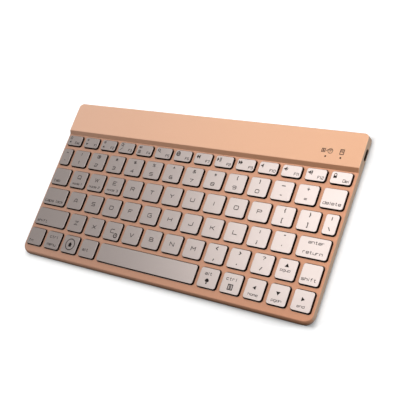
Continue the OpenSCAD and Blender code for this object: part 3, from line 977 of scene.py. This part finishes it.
def label_function(words, icons, box, name, *marks):
    """The name at the lower right, and one icon or a stack of two at the left."""
    low, high = box
    at = Vector((high.x - NAME_INDENT, on_cap(box, 0, 0.3).y))
    write(words, name, at, FKEY_H, FKEY_W, FKEY_LINE, high.z, 1)
    for mark, (share, size, line) in zip(marks, ICON_STACK if len(marks) > 1 else LONE_ICON):
        symbol(icons, mark, Vector((low.x + ICON_INDENT, on_cap(box, 0, share).y)), size, line, high.z)


def label_words(bm, box, scale, text, across, up, anchor=0.5):
    write(bm, text, on_cap(box, across, up), WORD_H * scale, WORD_W * scale, WORD_LINE * scale,
          box[1].z, anchor)


def label_node(node, boxes):
    """All the print on one node's caps: thin words in one piece, solid icons in another."""
    words = bmesh.new()
    icons = bmesh.new()
    name = short_name(node)
    pairs = {"number_keys": DIGIT_PAIRS, "punctuation_keys": MARK_PAIRS}.get(name, [])
    for box, (lower, upper) in zip(boxes, pairs):
        label_pair(words, box, lower, upper)
    if name == "function_keys":
        for box, label in zip(boxes, FUNCTION_LABELS):
            label_function(words, icons, box, *label.split())
    box = boxes[0]
    top = box[1].z
    if len(name) == 1:
        share = RAISED_SHARE if name in SMALL_WORDS else 0.5
        write(words, name.upper(), on_cap(box, 0.5, share), LETTER_H, LETTER_W, LETTER_LINE, top)
    for line in WORDS.get(name, []):
        label_words(words, box, 1, *line)
    if name in SMALL_WORDS:
        label_words(words, box, SMALL_SHARE, *SMALL_WORDS[name])
    if name in KEY_ICONS:
        icon, across, up, size = KEY_ICONS[name]
        symbol(icons, icon, on_cap(box, across, up), size, BOLD_LINE, top)
    if name == "system":
        ring_mark(icons, on_cap(box, 0.5, 0.5), SYSTEM_RING, BOLD_LINE, top)
    for bm, kind, finish in ((words, "words_", ink), (icons, "icons_", dark_ink)):
        if bm.verts:
            finish_mesh(bm, kind + name, finish, node)
        else:
            bm.free()


for node, boxes in key_boxes.items():
    label_node(node, boxes)


# ---------------- under the caps

DOME_WALL = 0.35
LINK_EDGE = 0.12
SHALLOW_CAP = 10   # a cap less deep than this has its links sideways
LONG_CAP = 25      # a cap longer than this has a wire too
TWO_PAIRS = 60     # and one longer than this has two pairs of links
WIRE_RADIUS = 0.35


def make_dome(bm, low, high):
    """A thin rubber cup that buckles under the plunger."""
    radius = dome_radius(low, high)
    roof = high.z - ROOF - PLUNGER - 0.05 - membrane_top
    ceiling = roof - 2 * DOME_WALL
    profile = [(radius, 0), (radius, 0.2), (radius * 0.93, 0.45), (radius * 0.62, roof * 0.82),
               (radius * 0.5, roof), (0.05, roof), (0.05, ceiling), (radius * 0.5 - DOME_WALL, ceiling),
               (radius * 0.9 - DOME_WALL, 0.4), (radius - DOME_WALL, 0)]
    at = column((low + high) / 2, membrane_top)
    loft_round(bm, [circle_ring(at + Z_AXIS * h, max(r, 0.04), steps=20) for r, h in profile])


def make_link(bm, centre, length, width, tilt, along, across):
    """One open frame of a scissor pair, with softened bars."""
    half = LINK_BAR / 2
    run = along * math.cos(tilt) + Z_AXIS * math.sin(tilt)
    up = Z_AXIS * math.cos(tilt) - along * math.sin(tilt)
    below = [(0, -half * 0.6), (LINK_EDGE, -half), (LINK_BAR - LINK_EDGE, -half), (LINK_BAR, -half * 0.6)]
    above = [(inset, -rise) for inset, rise in reversed(below)]
    rings = []
    for inset, rise in below + above:
        at = centre + up * rise
        rings.append(rounded_ring(at, length - 2 * inset, width - 2 * inset, 0.4, run, across, steps=2))
    loft_round(bm, rings)


def make_links(bm, low, high):
    """The crossed pair that keeps a cap level, or two pairs under the longest cap."""
    size = high - low
    centre = column((low + high) / 2, (membrane_top + high.z - ROOF) / 2)
    span = link_span(low, high)
    along, across = (X_AXIS, Y_AXIS) if size.y < SHALLOW_CAP else (Y_AXIS, -X_AXIS)
    offsets = [-size.x / 4, size.x / 4] if size.x > TWO_PAIRS else [0]
    for offset in offsets:
        at = centre + X_AXIS * offset
        make_link(bm, at, LINK_ARM, span, LINK_TILT, along, across)
        inner_span = span - 2 * LINK_BAR - 0.2
        make_link(bm, at, LINK_ARM - 3 * LINK_BAR, inner_span, -LINK_TILT, along, across)


def make_level_wire(low, high):
    """The bent steel wire that holds a long cap level."""
    centre = (low + high) / 2
    half = (high.x - low.x) / 2 - SKIRT_WALL - 2
    back = centre.y + 2
    front = low.y + SKIRT_WALL + 0.5
    top = high.z - ROOF - 0.5
    foot = membrane_top + 0.5
    path = [(-half + 1.5, back, foot), (-half, back, foot), (-half, front, top),
            (half, front, top), (half, back, foot), (half - 1.5, back, foot)]
    curve = bpy.data.curves.new("wire", "CURVE")
    curve.dimensions = "3D"
    curve.bevel_depth = WIRE_RADIUS
    curve.bevel_resolution = 2
    curve.use_fill_caps = True
    spline = curve.splines.new("POLY")
    spline.points.add(len(path) - 1)
    for point, (x, y, z) in zip(spline.points, path):
        point.co = (centre.x + x, y, z, 1)
    holder = add_object("wire", curve)
    mesh = bpy.data.meshes.new_from_object(holder)
    bm = bmesh.new()
    bm.from_mesh(mesh)
    bmesh.ops.remove_doubles(bm, verts=bm.verts, dist=MERGE)
    bpy.data.objects.remove(holder)
    bpy.data.meshes.remove(mesh)
    return bm


def finish_sprung(bm, kind, node, finish):
    """A piece that stays on the case, with a mesh of its own."""
    piece = finish_mesh(bm, kind + short_name(node), finish)
    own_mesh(piece)
    return piece


for node, boxes in key_boxes.items():
    domes = bmesh.new()
    links = bmesh.new()
    for low, high in boxes:
        make_dome(domes, low, high)
        make_links(links, low, high)
    finish_sprung(domes, "dome_", node, dome_finish)
    finish_sprung(links, "links_", node, link_finish)
    low, high = boxes[0]
    if len(boxes) == 1 and high.x - low.x > LONG_CAP:
        finish_sprung(make_level_wire(low, high), "wire_", node, steel_finish)
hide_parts("rubber_domes")
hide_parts("scissor_links")


# ---------------- sockets, switch, lights

SOCKET_WALL = 0.3
TONGUE_SIZE = Vector((3.8, 3.8, 0.6))
CONTACTS = 5
CONTACT_PITCH = 0.65
KNOB_RIBS = 5
MARK_DISTANCE = 3.9   # from a light's middle to its mark's
MARK_SIZE = 2.2


def make_socket():
    """The charging socket: a round-ended steel mouth with a contact tongue inside."""
    back, front = socket_low.x, socket_high.x
    shell = bmesh.new()
    levels = [(back, -0.1), (back + 0.1, 0), (front - 0.1, 0), (front, -0.08),
              (front, 0.08 - SOCKET_WALL), (front - 0.15, -SOCKET_WALL), (back + 0.8, -SOCKET_WALL)]
    prism(shell, socket_low, socket_high, MOUTH_RADIUS, levels, axis=0, steps=MOUTH_STEPS)
    # The shell gets the nearly black steel: painted shade inside the opening.
    finish_mesh(shell, "socket_shell", socket_shaded_finish, replaces=["charge_socket"])
    tongue = bmesh.new()
    root = Vector((back + 0.7, socket_mid.y - TONGUE_SIZE.y / 2, socket_mid.z - 0.05))
    slab(tongue, root, root + TONGUE_SIZE, 0.3, 0.12)
    finish_mesh(tongue, "socket_tongue", chip_finish)
    contacts = bmesh.new()
    for i in range(CONTACTS):
        at = root + Vector((0.3, TONGUE_SIZE.y / 2 + (i - (CONTACTS - 1) / 2) * CONTACT_PITCH, 0))
        slab(contacts, at - Vector((0, 0.15, 0.06)), at + Vector((3.2, 0.15, 0.1)), 0.08, 0.04, steps=2)
    finish_mesh(contacts, "socket_contacts", gold_finish)


def make_switch():
    """The slide switch: a ribbed knob in the slot, on a flat carriage behind the wall."""
    front = switch_high.y
    knob_back = front - 1.5
    low = knob_mid - KNOB_SIZE / 2
    high = knob_mid + KNOB_SIZE / 2
    bm = bmesh.new()
    rib_height = KNOB_SIZE.z - 0.3
    levels = [(knob_back, 0), (front - 0.4, 0), (front - 0.3, 0.08), (front - 0.25, 0.2)]
    loft(bm, [prism_ring(low, high, y, -inset, 0.35, axis=1) for y, inset in levels])
    for i in range(KNOB_RIBS):
        x = low.x + KNOB_SIZE.x * (i + 1) / (KNOB_RIBS + 1)
        rings = []
        for y, half in ((front - 0.35, 0.17), (front - 0.06, 0.12), (front, 0.05)):
            at = Vector((x, y, knob_mid.z))
            rings.append(rounded_ring(at, 2 * half, rib_height, half * 0.9, X_AXIS, Z_AXIS, steps=3))
        loft(bm, rings)
    slab(bm, switch_low, Vector((switch_high.x, knob_back + 0.05, switch_high.z)), 0.3, 0.15)
    finish_mesh(bm, "power_knob", switch_finish, "power_switch", ["power_switch"])


def make_lights():
    """Two light pipes that end in small lenses level with the bar's top."""
    bm = bmesh.new()
    for low, high in light_boxes:
        radius = (high.x - low.x) / 2
        top = high.z
        turned(bm, column((low + high) / 2),
               [(radius * 0.8, low.z), (radius, low.z + 0.1), (radius, top - 0.2),
                (radius * 0.85, top - 0.08), (radius * 0.5, top - 0.02), (0.05, top - 0.01)])
    finish_mesh(bm, "light_pipes", light_finish, replaces=["status_lights"])


def make_bar_marks():
    """Printed marks beside the two lights: caps and link on the left, battery on the right."""
    left, right = [((low + high) / 2).xy + Vector((0, MARK_DISTANCE)) for low, high in light_boxes]
    link_at = left + Vector((2.3, 0))
    bm = bmesh.new()
    symbol(bm, "boxed_a", left - Vector((2.4, 0)), MARK_SIZE, 0.42, bar_z)
    symbol(bm, "slash", left, 1.5, 0.34, bar_z)
    symbol(bm, "waves", link_at, MARK_SIZE, 0.36, bar_z)
    ring_mark(bm, link_at - Vector((0, 0.1)), 1.6, 0.32, bar_z)
    symbol(bm, "battery", right, 3.2, 0.45, bar_z)
    finish_mesh(bm, "bar_marks", dark_ink)


make_socket()
make_switch()
make_lights()
make_bar_marks()


# ---------------- screws, feet, inside parts

RIDGE = 0.3


def make_screws():
    """Small pan-head screws with a cross recess and a ridged shank."""
    low, high = screw_boxes[0]
    seat = low.z + HEAD_DEPTH - 0.1
    screw = bmesh.new()
    turned(screw, Vector(), [(0.5, low.z), (0.9, low.z + 0.02), (1.1, low.z + 0.16), (1.1, seat),
                             (0.4, seat), (0.4, low.z + 0.8)])
    for wide, deep in ((1.3, 0.3), (0.3, 1.3)):
        half = Vector((wide / 2, deep / 2, 0))
        cutter = bmesh.new()
        slab(cutter, Z_AXIS * (low.z - 0.3) - half, Z_AXIS * (low.z + 0.32) + half, 0.05, 0.02, steps=2)
        screw = carve(screw, cutter)
    profile = [(0.42, low.z + 0.7)]
    for i in range(int((high.z - low.z - 1.0) / RIDGE)):
        z = low.z + 0.8 + i * RIDGE
        profile += [(0.5, z), (0.4, z + RIDGE * 0.6)]
    profile.append((0.2, high.z))
    turned(screw, Vector(), profile, steps=16)
    single = bpy.data.meshes.new("one_screw")
    screw.to_mesh(single)
    screw.free()
    bm = bmesh.new()
    for point in screw_points:
        before = len(bm.verts)
        bm.from_mesh(single)
        bm.verts.ensure_lookup_table()
        bmesh.ops.translate(bm, vec=column(point), verts=bm.verts[before:])
    finish_mesh(bm, "case_screws", screw_finish, replaces=["screws"])


def make_feet():
    bm = bmesh.new()
    for low, high in solid_boxes("rubber_feet"):
        slab(bm, low, high, (high.y - low.y) / 2, 0.3, steps=4)
    finish_mesh(bm, "foot_pads", foot_finish, replaces=["rubber_feet"])


def make_battery():
    """A flat pouch cell with a crimped seam round it."""
    low, high = node_box("battery")
    seam = Vector((1.2, 0.8, 0))
    middle = (low.z + high.z) / 2
    bm = bmesh.new()
    slab(bm, low + seam, high - seam, 1.6, 0.9, steps=4)
    slab(bm, column(low, middle - 0.15), column(high, middle + 0.15), 0.8, 0.1, steps=2)
    finish_mesh(bm, "battery_cell", battery_finish, replaces=["battery"])


def repaint(node, finish):
    """Give a part that is shown as its CAD shape another finish."""
    for slot in frame["nodes"][node].material_slots:
        slot.material = finish


make_screws()
make_feet()
make_battery()
repaint("support_plate", steel_finish)
repaint("membrane", film_finish)
repaint("circuit_board", board_finish)


# ---------------- floor, light and camera

FLOOR_HALF = 4             # metres
FLOOR_GLOW = 0.2
GLOW_REACH = (-0.5, 2.5)   # where the glow starts and is full, in millimetres outside the case


def make_floor():
    """White paper with a faint glow of its own round the case, so that the shadow stays narrow."""
    bm = bmesh.new()
    corners = [(-1, -1), (1, -1), (1, 1), (-1, 1)]
    bm.faces.new([bm.verts.new((x * FLOOR_HALF, y * FLOOR_HALF, 0)) for x, y in corners])
    mesh = bpy.data.meshes.new("floor")
    bm.to_mesh(mesh)
    bm.free()
    floor = add_object("floor", mesh)
    paper = Finish("white_paper", (0.97, 0.97, 0.97), 0.9)
    paper.inputs["Emission Color"].default_value = (1, 1, 1, 1)
    outside = paper.combine("MAXIMUM", paper.beyond("X", case_x), paper.beyond("Y", case_back))
    glow = paper.ramp(outside, GLOW_REACH[0] * MM, GLOW_REACH[1] * MM, 0, FLOOR_GLOW)
    paper.tree.links.new(glow, paper.inputs["Emission Strength"])
    paper.tint(paper.noise(400, 2), (0.93, 0.93, 0.93), 0.3)
    mesh.materials.append(paper.done())
    # The floor sends no light up, so that the front wall stays dark.
    floor.visible_diffuse = False
    floor.visible_glossy = False


def area_light(name, place, aim, size, power, color=(1, 1, 1)):
    light = bpy.data.lights.new(name, "AREA")
    light.shape = "RECTANGLE"
    light.size, light.size_y = size
    light.energy = power
    light.color = color
    lamp = add_object(name, light)
    lamp.location = place
    lamp.rotation_euler = (Vector(aim) - Vector(place)).to_track_quat("-Z", "Y").to_euler()
    return lamp


BRIGHT_SIDE = (0.5, 0.42, 0.76)   # direction of the brightest part of the sky
DARK_GLOW = 0.02
BRIGHT_GLOW = 0.8


def make_lights_and_world():
    """A sky that is brighter on one side, a softbox above, and a small fill at each side."""
    world = bpy.data.worlds.new("studio")
    world.use_nodes = True
    tree = world.node_tree
    sky = add_node(tree, "TexCoord", {})["Generated"]
    toward = add_node(tree, "VectorMath", {0: sky, 1: BRIGHT_SIDE}, operation="DOT_PRODUCT")["Value"]
    inputs = {"Value": toward, "To Min": DARK_GLOW, "To Max": BRIGHT_GLOW}
    background = tree.nodes["Background"].inputs
    background["Color"].default_value = (1, 1, 1, 1)
    tree.links.new(add_node(tree, "MapRange", inputs)["Result"], background["Strength"])
    bpy.context.scene.world = world
    area_light("softbox", (-0.06, 0.24, 0.45), (-0.06, 0.2, 0), (0.42, 0.5), 1.12)
    side = area_light("side_light", (-1.2, -0.15, 0.9), (0, 0, 0), (0.3, 0.3), 7.6)
    end = area_light("end_light", (1.25, 0.3, 0.16), (0.1, 0, 0), (0.3, 0.3), 16.5, (0.9, 0.96, 1.0))
    for fill in (side, end):
        fill.visible_glossy = False   # it casts soft shadows, and isn't mirrored in the caps
    bpy.context.scene.view_settings.view_transform = "Standard"


CAMERA_AZIMUTH = math.radians(67.58)
CAMERA_ELEVATION = math.radians(51.31)
CAMERA_ROLL = math.radians(52.08)
CAMERA_TARGET = (0.01783, 0.00107, 0.0064)
CAMERA_DISTANCE = 0.53911
CAMERA_LENS = 74.395


def make_camera():
    """The camera looks down from the right and front, rolled so that the bar runs across."""
    data = bpy.data.cameras.new("camera")
    data.lens = CAMERA_LENS
    data.clip_start = 0.01
    camera = add_object("camera", data)
    turn = (Matrix.Rotation(CAMERA_AZIMUTH, 4, "Z")
            @ Matrix.Rotation(math.pi / 2 - CAMERA_ELEVATION, 4, "X")
            @ Matrix.Rotation(-CAMERA_ROLL, 4, "Z"))
    away = Matrix.Translation((0, 0, CAMERA_DISTANCE))
    camera.matrix_world = Matrix.Translation(CAMERA_TARGET) @ turn @ away
    bpy.context.scene.camera = camera


make_floor()
make_lights_and_world()
make_camera()
